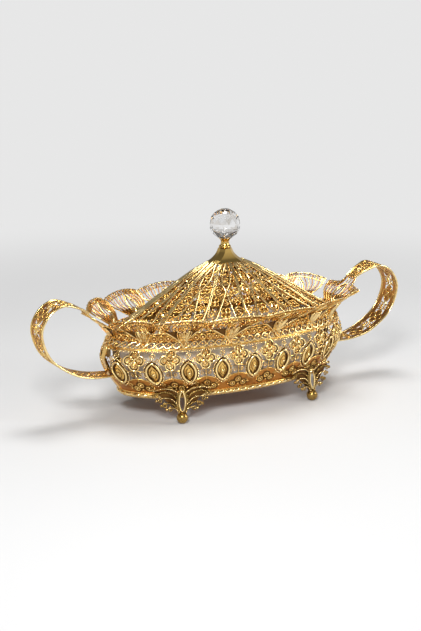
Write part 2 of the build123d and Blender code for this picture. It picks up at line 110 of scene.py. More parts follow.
HOLLOW_HEIGHT = 13.0

# ------------------------------------------------------------------ lid
# where the gores meet, as shares of a quarter of the plan
LID_JOINTS = [0.0, 0.38, 0.725, 1.0]
LID_TOP = 139.5
# heights up the lid's seams, and half the lid's length there
LID_LEVELS = [(84.0, 117.0), (95.0, 97.0), (107.0, 77.5), (120.5, 55.5), (131.0, 37.0), (LID_TOP, 18.0)]
LID_SLIMNESS = 0.43  # the lid's width as a share of its length
GORE_EDGE = 0.98  # how near to a seam a figure may come, as a share of the half width
MOTIF = 13.0  # width of the lid's round figures
MOTIF_START = 7.4
MOTIF_STOP = 3.5
ROW_PITCH = 0.92 * MOTIF
LEAST_PITCH = 0.55
# coppery bands across a gore: the share of its length where one lies, its two edges there and its height
LID_BANDS = [(0.0, 0.2, 2.4, -0.6), (0.36, 0.0, 2.2, -1.2), (0.7, 0.0, 1.6, -1.2)]
PAIR_END = 0.40  # share of the lid's slope where the pairs of rib wires end
LID_RING_INSET = 1.2
LID_RING_BEADS = 170
CAP_TOP = 152.5
# heights, half lengths and half widths of the cap
CAP_LEVELS = [(LID_TOP, 18.6, 9.6), (143.0, 13.2, 8.0), (147.5, 8.6, 6.8), (CAP_TOP, 6.2, 6.0)]
CAP_CORNER = 0.6  # how much of the half width its cut corners take
CAP_SIDES = 8
# heights and radii of the neck
NECK_LEVELS = [(CAP_TOP, 5.0), (153.6, 6.0), (154.8, 5.6), (155.8, 4.5), (158.6, 4.0), (161.0, 5.2),
               (162.6, 7.0)]

# ------------------------------------------------------------------ handles and feet
# the middle line of a handle's ribbon, outwards and up, from the rim round to the belly
HANDLE_ROUTE = [(147.0, 107.0), (160.0, 114.3), (176.0, 118.4), (190.5, 110.0), (197.5, 93.0),
                (189.0, 69.5), (168.0, 52.8), (146.0, 45.3), (122.0, 43.5)]
HANDLE_HALF = 14.0
HANDLE_TIP_HALF = 6.0
HANDLE_TAIL_HALF = 8.0
# how far out each end of the ribbon is at its narrowest, and how far out it has its full width
TIP_SPREAD = (140.0, 172.0)
TAIL_SPREAD = (118.0, 160.0)
HANDLE_START = 1.0
HANDLE_STOP = 0.5
FIGURE_HALF = 9.6  # half width of the ribbon's figures at full size
FIGURE_PITCH = 11.524

FOOT_X = 72.5
FOOT_Y = 47.0
FOOT_LEAN = 6.0  # degrees that a bracket leans in
FOOT_BALL = 5.6
SLOT_Z = 15.6  # middle of the slotted loop above the middle of the ball
# the wires on one side of a foot, from the lowest up, as points aside and up
WINGS = [
    [(2.6, 3.4), (5.4, 8.6), (10.5, 10.4), (14.6, 8.8)],
    [(3.6, 7.6), (8.8, 13.4), (15.0, 14.6), (19.6, 12.6)],
    [(4.8, 13.0), (10.4, 18.6), (18.0, 20.0), (24.2, 17.6)],
    [(5.2, 19.0), (10.8, 23.6), (18.4, 25.6), (27.4, 22.6)],
    [(4.6, 24.6), (10.0, 27.6), (18.0, 28.8), (27.0, 27.4)],
]

# ------------------------------------------------------------------ finishes, studio and camera
# finishes, by their place in the list of metals
GOLD, PALE, COPPER, SHADE_AND_PATINA, BRASS, MIRROR, STEEL = range(7)
SMOOTH_ANGLE = 66.0  # degrees up to which an edge is shaded smooth
FACET_ANGLE = 24.0  # the same on the cap, whose facets stay crisp

FLOOR = 0.62
FLOOR_DRIFT = 0.03
BACKDROP = 0.80
OVERHEAD = 0.20
FLOOR_HALF = 12.0
FADE_NEAR = 0.30
FADE_FAR = 0.95

LIGHT_TARGET = (0.0, 0.0, 0.08)
CAMERA_AZIMUTH = -29.3
CAMERA_ELEVATION = 14.5
CAMERA_DISTANCE = 1.4
CAMERA_TARGET = Vector((-0.0159, 0.0, 0.0868))
PHOTO_HEIGHT = 631
FOCAL_PIXELS = 1443.5
SENSOR = 36.0

UP = Vector((0, 0, 1))
MIDDLE = [(0.0, 0.0)]
QUARTER_TURNS = [quarter * math.pi / 2 for quarter in range(4)]
DIAGONALS = [math.pi / 4 + turn for turn in QUARTER_TURNS]


# ------------------------------------------------------------------ numbers and lines
def unit(vectors):
    return vectors / np.maximum(np.linalg.norm(vectors, axis=-1, keepdims=True), 1e-9)


def alike(*values):
    """Numbers and arrays, as arrays of one shape."""
    return np.broadcast_arrays(*(np.asarray(value, float) for value in values))


def steps_down(first, last, count):
    """Even steps, one for each row of a grid."""
    return np.linspace(first, last, count)[:, None]


def steps_across(first, last, count):
    """Even steps, one for each column of a grid."""
    return np.linspace(first, last, count)[None, :]


def run_along(points):
    """How far along a line each of its points lies."""
    return np.concatenate([[0], np.cumsum(np.linalg.norm(np.diff(points, axis=0), axis=1))])


def smooth_rows(rows, steps=8):
    """Rows of numbers, with a smooth curve led through them."""
    rows = np.asarray(rows, float)
    ends = np.vstack([2 * rows[0] - rows[1], rows, 2 * rows[-1] - rows[-2]])
    out = []
    for i in range(1, len(ends) - 2):
        p0, p1, p2, p3 = ends[i - 1:i + 3]
        for step in range(steps):
            t = step / steps
            out.append(0.5 * (2 * p1 + (p2 - p0) * t + (2 * p0 - 5 * p1 + 4 * p2 - p3) * t**2
                              + (3 * p1 - p0 - 3 * p2 + p3) * t**3))
    out.append(rows[-1])
    return np.array(out)


# ------------------------------------------------------------------ making meshes
def bead_template(around, up):
    """The points, four-sided faces and three-sided faces of a unit ball."""
    points = [(0, 0, -1)]
    for row in range(1, up):
        latitude = math.pi * (row / up - 0.5)
        for turn in range(around):
            angle = 2 * math.pi * turn / around
            points.append((math.cos(latitude) * math.cos(angle), math.cos(latitude) * math.sin(angle),
                           math.sin(latitude)))
    points.append((0, 0, 1))
    last = len(points) - 1
    quads = []
    tris = []
    for turn in range(around):
        after = (turn + 1) % around
        tris.append((0, 1 + after, 1 + turn))
        top = 1 + (up - 2) * around
        tris.append((last, top + turn, top + after))
        for row in range(up - 2):
            low = 1 + row * around
            quads.append((low + turn, low + after, low + around + after, low + around + turn))
    return np.array(points, float), np.array(quads), np.array(tris)


BEAD = bead_template(8, 6)


def ring_faces(rings, sides, closed=False):
    """The faces between the rings of a tube, and those over its two ends where it isn't closed."""
    start = np.arange(rings if closed else rings - 1)[:, None]
    side = np.arange(sides)[None, :]
    after = (side + 1) % sides
    low = start * sides
    high = (start + 1) % rings * sides
    quads = np.stack([low + side, low + after, high + after, high + side], -1).reshape(-1, 4)
    ends = [np.arange(sides)[::-1], np.arange(sides) + (rings - 1) * sides]
    return [quads] if closed else [quads, ends]


class Piece:
    """Collects tubes, beads and sheets in millimetres, then makes them one object."""

    def __init__(self):
        self.points = []
        self.faces = []
        self.finishes = []
        self.total = 0

    def add(self, points, faces, finish):
        for block in faces:
            self.faces.append(np.asarray(block) + self.total)
            self.finishes.append(np.full(len(block), finish))
        self.points.append(points.reshape(-1, 3))
        self.total += len(points.reshape(-1, 3))

    def tube(self, line, radius, finish=GOLD, closed=False, sides=6, flat=1.0):
        """A wire along a line, given as its points and the surface's normals there."""
        points, normals = line
        count = len(points)
        if closed:
            ahead = np.roll(points, -1, axis=0)
            behind = np.roll(points, 1, axis=0)
        else:
            ahead = np.vstack([points[1:], 2 * points[-1:] - points[-2:-1]])
            behind = np.vstack([2 * points[:1] - points[1:2], points[:-1]])
        along = unit(ahead - behind)
        across = unit(np.cross(along, normals))
        up = np.cross(across, along)
        turn = (2 * np.pi * np.arange(sides) / sides)[None, :, None]
        radii = np.broadcast_to(np.asarray(radius, float), (count,))[:, None, None]
        ring = np.cos(turn) * up[:, None, :] * flat + np.sin(turn) * across[:, None, :]
        self.add(points[:, None, :] + radii * ring, ring_faces(count, sides, closed), finish)

    def beads(self, centres, radius, finish=GOLD):
        """Small balls about their centres."""
        template, quads, tris = BEAD
        centres = np.asarray(centres, float).reshape(-1, 3)
        body = centres[:, None, :] + template[None] * radius
        offsets = (np.arange(len(centres)) * len(template))[:, None, None]
        faces = [(quads[None] + offsets).reshape(-1, 4), (tris[None] + offsets).reshape(-1, 3)]
        self.add(body, faces, finish)

    def sheet(self, grid, thickness, finish=GOLD, wrap=False):
        """A closed sheet through a grid of points and normals, rows by columns."""
        points, normals = grid
        rows, cols = points.shape[:2]
        outer = points + normals * thickness / 2
        inner = points - normals * thickness / 2
        layer = rows * cols
        row = np.arange(rows - 1)[:, None]
        col = np.arange(cols if wrap else cols - 1)[None, :]
        nxt = (col + 1) % cols
        a = row * cols + col
        b = row * cols + nxt
        c = (row + 1) * cols + nxt
        d = (row + 1) * cols + col
        front = np.stack([a, b, c, d], -1).reshape(-1, 4)
        back = np.stack([d, c, b, a], -1).reshape(-1, 4) + layer
        col = col[0]
        nxt = nxt[0]
        top = (rows - 1) * cols
        rims = [np.stack([nxt, col, col + layer, nxt + layer], -1),
                np.stack([top + col, top + nxt, top + nxt + layer, top + col + layer], -1)]
        if not wrap:
            left = np.arange(rows - 1) * cols
            right = left + cols - 1
            rims.append(np.stack([left, left + cols, left + cols + layer, left + layer], -1))
            rims.append(np.stack([right + cols, right, right + layer, right + cols + layer], -1))
        both = np.concatenate([outer.reshape(-1, 3), inner.reshape(-1, 3)])
        self.add(both, [front, back] + rims, finish)

    def make(self, name, body, node):
        """One object of all that was collected, which rides on a body and stands for a solid."""
        mesh = bpy.data.meshes.new(name)
        points = np.concatenate(self.points) * MM
        faces = [face for block in self.faces for face in block.tolist()]
        mesh.from_pydata(points.tolist(), [], faces)
        finishes = np.concatenate(self.finishes)
        used = sorted(set(finishes.tolist()))
        for finish in used:
            mesh.materials.append(METALS[finish])
        place = {finish: index for index, finish in enumerate(used)}
        mesh.polygons.foreach_set("material_index", [place[finish] for finish in finishes.tolist()])
        mesh.polygons.foreach_set("use_smooth", [True] * len(faces))
        mesh.update()
        mesh.set_sharp_from_angle(angle=math.radians(SMOOTH_ANGLE))
        piece = bpy.data.objects.new(name, mesh)
        bpy.context.scene.collection.objects.link(piece)
        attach(piece, body)
        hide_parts(node)
        return piece


class Spot:
    """A place on a surface, where flat outlines in millimetres are laid and added to a piece."""

    def __init__(self, piece, surface, across, up, size=1.0):
        self.piece = piece
        self.surface = surface
        self.across = across
        self.up = up
        self.size = size

    def lay(self, outline, out):
        return self.surface.patch(self.across, self.up, outline, out, self.size)

    def ring(self, outline, radius, finish=GOLD, out=0.0, sides=6, flat=1.0):
        self.piece.tube(self.lay(outline, out), radius, finish, True, sides, flat)

    def wire(self, outline, radius, finish=GOLD, out=0.0, sides=6):
        self.piece.tube(self.lay(outline, out), radius, finish, False, sides)

    def beads(self, points, radius, finish=GOLD, out=0.0):
        self.piece.beads(self.lay(points, out)[0], radius, finish)

    def plate(self, grid, thickness, finish=GOLD, out=0.0, wrap=True):
        self.piece.sheet(self.lay(grid, out), thickness, finish, wrap)


# ------------------------------------------------------------------ places round the oval
def oval_table():
    """Shares of the way round the belly's plan from its left front, and the angles there."""
    angles = np.linspace(-math.pi / 2, 1.5 * math.pi, 1441)
    run = run_along(np.stack([BELLY_A * np.cos(angles), BELLY_B * np.sin(angles)], -1))
    return run / run[-1], angles


SHARES, ANGLES = oval_table()


def share_angle(share):
    """The angle at a share of the way round, counted from the front middle."""
    share = np.asarray(share, float)
    return np.interp(share % 1.0, SHARES, ANGLES) + 2 * math.pi * np.floor(share)


def evenly_round(count, offset=0.0):
    """Angles at an even spacing all the way round, each moved on by a share of a step."""
    return share_angle((np.arange(count) + offset) / count)


def round_shares(quarter, end_piece):
    """Where the pieces of a ring meet, as shares of the way round, from the shares of a quarter."""
    front = [share / 4 for share in quarter]
    back = [0.5 - share for share in reversed(front[1:] if end_piece else front[:-1])]
    half = front + back
    if end_piece:
        return half + [0.5 + share for share in half] + [1.0]
    return half + [0.5 + share for share in half[1:]]


# ------------------------------------------------------------------ surfaces
class Oval:
    """A surface of level ovals. A place on it is an angle and a distance up its side."""

    def __init__(self, levels):
        self.z, self.a, self.b = smooth_rows(levels).T
        climb = np.hypot(np.diff(self.z), np.diff((self.a + self.b) / 2))
        self.h = np.concatenate([[0], np.cumsum(climb)])
        self.length = self.h[-1]
        self.slopes = [np.gradient(values, self.h) for values in (self.z, self.a, self.b)]

    def height(self, z):
        """How far up its side the surface reaches a height."""
        return float(np.interp(z, self.z, self.h))

    def at(self, angle, h, out=0.0):
        angle, h, out = alike(angle, h, out)
        z, a, b = (np.interp(h, self.h, values) for values in (self.z, self.a, self.b))
        dz, da, db = (np.interp(h, self.h, values) for values in self.slopes)
        cos, sin = np.cos(angle), np.sin(angle)
        points = np.stack([a * cos, b * sin, z], -1)
        around = np.stack([-a * sin, b * cos, 0 * z], -1)
        upward = np.stack([da * cos, db * sin, dz], -1)
        normals = unit(np.cross(around, upward))
        return points + normals * out[..., None], normals

    def speed(self, angle, h):
        """How far along the oval one radian of the angle goes."""
        a = np.interp(h, self.h, self.a)
        b = np.interp(h, self.h, self.b)
        return np.hypot(a * np.sin(angle), b * np.cos(angle))

    def patch(self, angle, h, shape, out=0.0, size=1.0):
        """A flat outline, in millimetres, laid on the surface about a place on it."""
        shape = np.asarray(shape, float) * size
        x, y = shape[..., 0], shape[..., 1]
        return self.at(angle + x / self.speed(angle, h), np.clip(h + y, 0, self.length), out)


BELLY = Oval([(z, BELLY_A * scale, BELLY_B * scale) for z, scale in BELLY_LEVELS])


class Gore:
    """The flat surface between two seams of the lid. A place on it is a share of its half width, from -1
    at the left seam to 1 at the right one, and a distance up from its foot."""

    def __init__(self, first, last):
        z, length = np.transpose(LID_LEVELS)
        self.seams = [np.stack([length * math.cos(angle), length * LID_SLIMNESS * math.sin(angle), z], -1)
                      for angle in share_angle([first, last])]
        self.h = run_along((self.seams[0] + self.seams[1]) / 2)
        self.length = self.h[-1]

    def seam(self, number, h):
        return np.stack([np.interp(h, self.h, values) for values in self.seams[number].T], -1)

    def width(self, h):
        return np.linalg.norm(self.seam(1, h) - self.seam(0, h), axis=-1)

    def at(self, share, h, out=0.0):
        share, h, out = alike(share, h, out)
        left, right = self.seam(0, h), self.seam(1, h)
        upward = sum(self.seam(number, h + 2.0) - self.seam(number, h - 2.0) for number in (0, 1))
        normals = unit(np.cross(right - left, upward))
        points = left + (right - left) * (0.5 + share[..., None] / 2)
        return points + normals * out[..., None], normals

    def patch(self, x, h, shape, out=0.0, size=1.0):
        """A flat outline, in millimetres, laid on the gore about a place x aside of its middle."""
        shape = np.asarray(shape, float) * size
        high = np.clip(h + shape[..., 1], 0, self.length)
        half = self.width(high) / 2
        return self.at(np.clip((x + shape[..., 0]) / half, -GORE_EDGE, GORE_EDGE), high, out)


class Leaf:
    """The creased surface of one leaf of the rim. A place on it is a distance aside and a height."""

    def __init__(self, first, last):
        self.angles = share_angle([first, (first + last) / 2, last])
        self.at_end = abs(math.cos(self.angles[1])) > 0.99
        self.foot = np.array([WAIST_A * math.cos(self.angles[1]), WAIST_B * math.sin(self.angles[1])])
        normal = unit(self.foot / [WAIST_A**2, WAIST_B**2])
        self.aside = np.array([-normal[1], normal[0]])
        self.spread = {side: abs(self.beside(1 + side, FAN_SPREAD_Z)) for side in (-1, 1)}

    def plan(self, which, z):
        """The plan's place, at a height, of the left joint (0), the middle (1) or the right joint (2)."""
        z = np.asarray(z, float)
        heights, out_a, out_b = np.transpose(RIM_LEVELS)
        lean = END_HORN * np.maximum(0.0, z - HORN_FOOT) if self.at_end and which != 1 else 0.0
        a = WAIST_A + np.interp(z, heights, out_a) + lean - FAN_SHEET / 2
        b = WAIST_B + np.interp(z, heights, out_b) + lean - FAN_SHEET / 2
        return np.stack([a * math.cos(self.angles[which]), b * math.sin(self.angles[which])], -1)

    def beside(self, which, z):
        return (self.plan(which, z) - self.foot) @ self.aside

    def half_width(self, side, z):
        """From the stem's width up to the joint with the next leaf."""
        heights = [FAN_FOOT, FAN_NECK_Z, FAN_SPREAD_Z, FAN_CORNER]
        spread = self.spread[side]
        cut = np.interp(z, heights, [STEM_HALF, NECK_HALF, spread, CORNER_SPREAD * spread])
        return np.minimum(cut, np.abs(self.beside(1 + side, z)))

    def edge(self, side, aside):
        """Height of the top edge: a low arch, or at an end the handle's tongue between two horns."""
        far = CORNER_SPREAD * self.spread[side]
        if self.at_end:
            marks = [0, TONGUE_HALF, TONGUE_FOOT_HALF, far]
            return np.interp(np.abs(aside), marks, [END_TONGUE, END_TONGUE, FAN_CORNER, END_CORNER])
        return FAN_CREST - (FAN_CREST - FAN_CORNER) * (np.asarray(aside) / far) ** 2

    def top(self, side, part):
        """Where a wire at a share of the half width meets the top edge, aside and up."""
        z = FAN_CORNER
        for _ in range(5):
            aside = side * part * float(self.half_width(side, z))
            z = float(self.edge(side, aside))
        return aside, z

    def at(self, aside, z, out=0.0):
        aside, z, out = alike(aside, z, out)
        right = (aside >= self.beside(1, z))[..., None]

        def rail(height):
            return self.plan(1, height), np.where(right, self.plan(2, height), self.plan(0, height))

        middle, corner = rail(z)
        middle_x = (middle - self.foot) @ self.aside
        corner_x = (corner - self.foot) @ self.aside
        share = np.clip((aside - middle_x) / (corner_x - middle_x), 0.0, 1.0)[..., None]
        points = np.concatenate([middle + share * (corner - middle), z[..., None]], -1)
        above_middle, above_corner = rail(z + 1.0)
        above = above_middle + share * (above_corner - above_middle)
        above = np.concatenate([above, z[..., None] + 1.0], -1)
        across = np.concatenate([np.where(right, 1, -1) * (corner - middle), 0 * z[..., None]], -1)
        normals = unit(np.cross(across, above - points))
        return points + normals * out[..., None], normals


class Ribbon:
    """The bent ribbon of a handle. A place on it is a distance aside and one along from the rim."""

    def __init__(self, side):
        self.side = side
        route = smooth_rows(HANDLE_ROUTE, 10)
        self.run = run_along(route)
        self.length = self.run[-1]
        self.x, self.z = route.T
        self.heading_x, self.heading_z = unit(np.gradient(route, self.run, axis=0)).T

    def half_width(self, s):
        x = np.interp(s, self.run, self.x)
        upper = np.interp(x, TIP_SPREAD, [HANDLE_TIP_HALF, HANDLE_HALF])
        lower = np.interp(x, TAIL_SPREAD, [HANDLE_TAIL_HALF, HANDLE_HALF])
        return np.where(np.asarray(s) < self.length / 2, upper, lower)

    def at(self, across, s, out=0.0):
        across, s, out = alike(across, s, out)
        x, z = (np.interp(s, self.run, values) for values in (self.x, self.z))
        along_x, along_z = (np.interp(s, self.run, values) for values in (self.heading_x, self.heading_z))
        normals = unit(np.stack([-self.side * along_z, 0 * x, along_x], -1))
        return np.stack([self.side * x, across, z], -1) + normals * out[..., None], normals

    def patch(self, across, s, shape, out=0.0, size=1.0):
        """A flat outline, in millimetres, laid on the ribbon about a place on it."""
        shape = np.asarray(shape, float) * size
        return self.at(across + shape[..., 0], s + shape[..., 1], out)


class Bracket:
    """The flat plane of a foot, which leans in. A place on it is aside and up from the ball's middle."""

    def __init__(self, x_side, y_side):
        outward = Vector((x_side * FOOT_X / BELLY_A**2, y_side * FOOT_Y / BELLY_B**2, 0)).normalized()
        aside = UP.cross(outward)
        lean = math.radians(FOOT_LEAN)
        up = UP * math.cos(lean) - outward * math.sin(lean)
        self.facing = np.array(aside.cross(up))
        self.aside = np.array(aside)
        self.up = np.array(up)
        self.ball = np.array([x_side * FOOT_X, y_side * FOOT_Y, FOOT_BALL])

    def patch(self, x, y, shape, out=0.0, size=1.0):
        """A flat outline, in millimetres, laid on the plane about a place on it."""
        shape = np.asarray(shape, float) * size
        out = np.broadcast_to(np.asarray(out, float), shape.shape[:-1])[..., None]
        points = self.ball + (x + shape[..., :1]) * self.aside + (y + shape[..., 1:2]) * self.up
        points = points + out * self.facing
        return points, np.broadcast_to(self.facing, points.shape)


# ------------------------------------------------------------------ flat outlines
def circle(radius, x=0.0, y=0.0, count=14):
    turn = 2 * np.pi * np.arange(count) / count
    return np.stack([x + radius * np.cos(turn), y + radius * np.sin(turn)], -1)


def disc(radius, x=0.0, y=0.0):
    """A round patch as a grid of points from its middle to its edge."""
    sides = 12
    reach = steps_down(0.02, 1, 4) * radius
    turn = 2 * np.pi * np.arange(sides)[None, :] / sides
    return np.stack([x + reach * np.cos(turn), y + reach * np.sin(turn)], -1)


def lens(half_width, half_height, count=10, y=0.0):
    """A pointed oval, standing on its point."""
    radius = (half_width**2 + half_height**2) / (2 * half_width)
    reach = math.asin(min(1.0, half_height / radius))
    turn = np.linspace(-reach, reach, count + 1)[:-1]
    right = np.stack([half_width - radius + radius * np.cos(turn), radius * np.sin(turn)], -1)
    return np.concatenate([right, -right]) + [0.0, y]


def spiral(radius, turns, start, hand, count, x, y):
    """A scroll that winds in from its outer end."""
    t = np.linspace(0, 1, count)
    turn = start + hand * 2 * np.pi * turns * t
    reach = radius * (1 - 0.78 * t)
    return np.stack([x + reach * np.cos(turn), y + reach * np.sin(turn)], -1)


def evenly(outline, spacing, closed=True):
    """Points at an even spacing along an outline."""
    loop = np.vstack([outline, outline[:1]]) if closed else outline
    run = run_along(loop)
    count = max(2, int(round(run[-1] / spacing)))
    marks = np.linspace(0, run[-1], count, endpoint=not closed)
    return np.stack([np.interp(marks, run, loop[:, axis]) for axis in range(2)], -1)


# ------------------------------------------------------------------ belly
def flower(spot):
    """Four thick wire rings round a bead, each with a hollow plate, a dark ring of painted shade and
    patina, and a small one inside.
    """
    for turn in QUARTER_TURNS:
        x = 4.5 * math.cos(turn)
        y = 4.8 * math.sin(turn)
        spot.plate(disc(3.8, x, y), 0.3, PALE, -0.8)
        spot.ring(circle(3.9, x, y), FLOWER_WIRE, PALE)
        # The dark ring is painted shade and patina in the loop's groove.
        spot.ring(circle(2.9, x, y), 0.35, SHADE_AND_PATINA, -0.5, sides=5)
        spot.ring(circle(1.6, 0.9 * x, 0.9 * y, 8), 0.55 * FLOWER_WIRE, GOLD, -0.2, sides=5)
    spot.beads(MIDDLE, 1.2 * spot.size, BRASS, 0.2)
    for turn in DIAGONALS:
        spot.beads([(3.4 * math.cos(turn), 3.4 * math.sin(turn))], 0.9 * spot.size, GOLD, 0.3)


def medallion(spot):
    """A domed almond with a bead, inside a groove, a broad bright rim, a groove and a beaded edge; the
    grooves are dark rings of painted shade and patina.
    """
    spot.beads(evenly(lens(9.1, 14.4), 1.8), 0.72, PALE, 0.1)
    # The two groove rings are painted shade and patina.
    spot.ring(lens(7.9, 12.8), 0.6, SHADE_AND_PATINA, -0.3)
    spot.ring(lens(6.6, 11.4), 1.15, PALE, 0.6, flat=0.9)
    spot.ring(lens(5.0, 9.4), 0.6, SHADE_AND_PATINA, -0.1)
    up = steps_down(-0.96, 0.96, 9)
    side = steps_across(-1, 1, 5)
    almond = np.stack([4.8 * np.cos(np.pi * up / 2) * side, 9.2 * up + 0 * side], -1)
    dome = 1.6 * (1 - up**2) * (1 - np.abs(side))
    spot.plate(almond, 0.6, GOLD, dome - 0.6, wrap=False)
    spot.ring(lens(2.8, 5.4, 6), 0.5, BRASS, 0.6, sides=5)
    spot.beads(MIDDLE, 1.5, PALE, 1.2)


def trefoil(spot):
    """Three round loops with dark outlines of painted shade and patina, in the coppery band above the hem.
    """
    for turn, reach in ((0.0, 5.6), (math.pi / 2, 4.4), (math.pi, 5.6)):
        x = reach * math.cos(turn)
        y = reach * math.sin(turn)
        # The dark outline ring is painted shade and patina.
        spot.ring(circle(3.7, x, y), 0.75, SHADE_AND_PATINA, 0.1)
        spot.ring(circle(2.4, x, y, 10), 0.6, GOLD, 0.4, sides=5)
        spot.beads([(x, y)], 1.0, PALE, 0.2)
    spot.beads([(0.0, -1.0), (10.4, 0.8), (-10.4, 0.8)], 1.1, GOLD, 0.4)


def post(piece, angle, low, high, radius):
    """An upright wire on the belly, with a bead on its middle."""
    piece.tube(BELLY.at(angle, np.linspace(low, high, 4)), radius, GOLD)
    piece.beads(BELLY.at(angle, (low + high) / 2, 0.3)[0], 1.9 * radius, PALE)


def flower_ties(spot):
    """The thin wires below a flower, which tie it to the medallions on each side."""
    for hand in (1, -1):
        tie = smooth_rows([(hand * 0.6, 2.4), (hand * 4.4, 0.6), (hand * 8.6, 1.2), (hand * 10.2, 4.2)], 4)
        spot.wire(tie, 0.42, GOLD, -0.1, sides=5)
        curl = spiral(2.0, 1.1, math.pi / 2, -hand, 12, hand * 3.4, -3.4)
        spot.wire(curl, 0.38, GOLD, -0.1, sides=5)


def medallion_bay(piece, angle):
    """A medallion, and a ring on a post above it, with scrolls on both sides."""
    h = BELLY.height(MEDALLION_Z)
    spot = Spot(piece, BELLY, angle, h)
    medallion(spot)
    ring_h = BELLY.height(WALL_TOP) - 6.2
    above = Spot(piece, BELLY, angle, ring_h)
    above.ring(circle(2.3, count=12), 0.55, PALE, 0.1)
    post(piece, angle, h + 13.8, ring_h - 2.2, 0.45)
    above.beads(MIDDLE, 0.9, GOLD, 0.3)
    for hand in (1, -1):
        curl = spiral(2.3, 1.2, math.pi / 2, hand, 14, -hand * 4.4, -4.6)
        above.wire(curl, 0.42, GOLD, sides=5)
        curl = spiral(2.4, 1.2, -math.pi / 2, -hand, 14, -hand * 5.6, -12.8)
        spot.wire(curl, 0.42, GOLD, 0.25, sides=5)


def flower_bay(piece, angle):
    """A flower, with a trefoil and a post below it."""
    low = BELLY.height(WALL_BOTTOM)
    h = BELLY.height(FLOWER_Z)
    flower(Spot(piece, BELLY, angle, h, FLOWER_SIZE))
    trefoil(Spot(piece, BELLY, angle, low + 5.6))
    post(piece, angle, low + 13.2, h - 8.6, 0.5)
    flower_ties(Spot(piece, BELLY, angle, h - 11.6))


def wall(name, node, first_share):
    """One half of the belly: a scalloped coppery foot band, edge wires, medallions and flowers."""
    piece = Piece()
    low = BELLY.height(WALL_BOTTOM)
    top = BELLY.height(WALL_TOP)
    shares = np.linspace(first_share + SEAM_GAP, first_share + 0.5 - SEAM_GAP, 6 * BAYS + 1)
    angles = share_angle(shares)
    crest = BELLY.height(BAND_TOP) - BAND_WAVE * np.cos(2 * np.pi * BAYS * shares)
    piece.sheet(BELLY.at(angles, low + (crest - low) * steps_down(0, 1, 6), -0.3), 0.9, COPPER)
    piece.tube(BELLY.at(angles, crest, 0.2), 0.5, GOLD)
    piece.tube(BELLY.at(angles, top - 0.8, 0.1), 0.6, GOLD)
    beads = share_angle(np.arange(first_share, first_share + 0.5, 0.5 / WALL_BEADS))
    piece.beads(BELLY.at(beads, top - 2.3, 0.3)[0], 0.72, PALE)
    first_bay = round(first_share * 2 * BAYS)
    for bay in range(first_bay + 1, first_bay + BAYS):
        angle = float(share_angle(bay / (2 * BAYS)))
        if bay % 2 == 0:
            medallion_bay(piece, angle)
        else:
            flower_bay(piece, angle)
    piece.make(name, "dish", node)


def twisted_pair(piece, oval, place, swing, twists, steps, radius, finish, sides=6):
    """Two wires that wind round each other all the way round an oval. Their place and their swing are
    each a distance up its side and one out from it."""
    turn = np.linspace(0, 2 * np.pi, twists * steps + 1)[:-1]
    around = share_angle(turn / (2 * np.pi))
    for phase in (0.0, np.pi):
        h = place[0] + swing[0] * np.sin(twists * turn + phase)
        out = place[1] + swing[1] * np.cos(twists * turn + phase)
        piece.tube(oval.at(around, h, out), radius, finish, closed=True, sides=sides)


def shoulder():
    """The braided band between the belly and the waist, and the lace in front of the collar."""
    piece = Piece()
    low = BELLY.height(WALL_TOP)
    high = BELLY.height(SHOULDER_TOP)
    middle = (low + high) / 2
    whole = evenly_round(360)
    for h, radius in ((low + 0.5, 0.75), (high - 0.4, 0.7)):
        piece.tube(BELLY.at(whole, h, 0.1), radius, GOLD, closed=True)
    swing = (high - low) / 2 - 1.0
    twisted_pair(piece, BELLY, (middle, 0.7), (swing, 0.5), BRAID_TWISTS, 20, 0.9, PALE)
    crossings = 2 * BRAID_TWISTS
    piece.beads(BELLY.at(evenly_round(crossings, 0.5), middle, 0.5)[0], 1.0, GOLD)
    for angle in evenly_round(crossings):
        Spot(piece, BELLY, angle, middle).ring(circle(1.9, count=10), 0.4, GOLD, sides=5)
    collar_lace(piece)
    piece.make("shoulder_braid", "dish", "shoulder_band")


def collar_lace(piece):
    """A row of small rosettes in front of the collar, between the stems of the leaves."""
    waist = Oval([(z, WAIST_A + proud, WAIST_B + proud) for z, proud in LACE_LEVELS])
    middle = waist.height(LACE_Z)
    for angle, between in zip(evenly_round(LACE_ROSETTES), evenly_round(LACE_ROSETTES, 0.5)):
        rosette = Spot(piece, waist, angle, middle)
        rosette.ring(circle(2.8, count=12), 0.62, GOLD)
        rosette.beads(MIDDLE, 1.05, PALE, 0.2)
        Spot(piece, waist, between, middle).beads([(0.0, 2.6), (0.0, -2.6)], 0.85, COPPER, 0.1)


def hem():
    """The moulding under the belly, with a row of leaf-shaped drops and a twisted wire."""
    share = BELLY_LEVELS[0][1]
    a = BELLY_A * share + HEM_PROUD
    b = BELLY_B * share + HEM_PROUD
    ring = Oval([(z, a - inset, b - inset) for z, inset in HEM_LEVELS])
    piece = Piece()
    piece.sheet(ring.at(evenly_round(240), steps_down(0, ring.length, 10), -0.8), 1.2, GOLD, wrap=True)
    up = steps_down(-0.97, 0.97, 9)
    side = steps_across(-1, 1, 5)
    drop = np.stack([4.1 * up + 0 * side, 1.5 * (1 - up**2) * side + 0.55 * up], -1)
    bulge = 0.9 * (1 - up**2) * (1 - 0.7 * side**2)
    for angle in evenly_round(HEM_DROPS):
        spot = Spot(piece, ring, angle, ring.height(HEM_DROP_Z))
        spot.plate(drop, 0.5, PALE, bulge - 0.35, wrap=False)
    twisted_pair(piece, ring, (ring.length - 0.6, 0.0), (0.45, 0.45), HEM_TWISTS, 6, 0.42, GOLD, sides=5)
    piece.make("hem_moulding", "dish", "hem_ring")


# ------------------------------------------------------------------ rim
def opening(z):
    """Half width of the opening in the middle of a leaf, at a height."""
    rise = np.clip((np.asarray(z) - OPENING_FOOT) / (OPENING_TOP - OPENING_FOOT), 0, 1)
    return OPENING_HALF * np.sin(np.pi * rise) ** 0.8


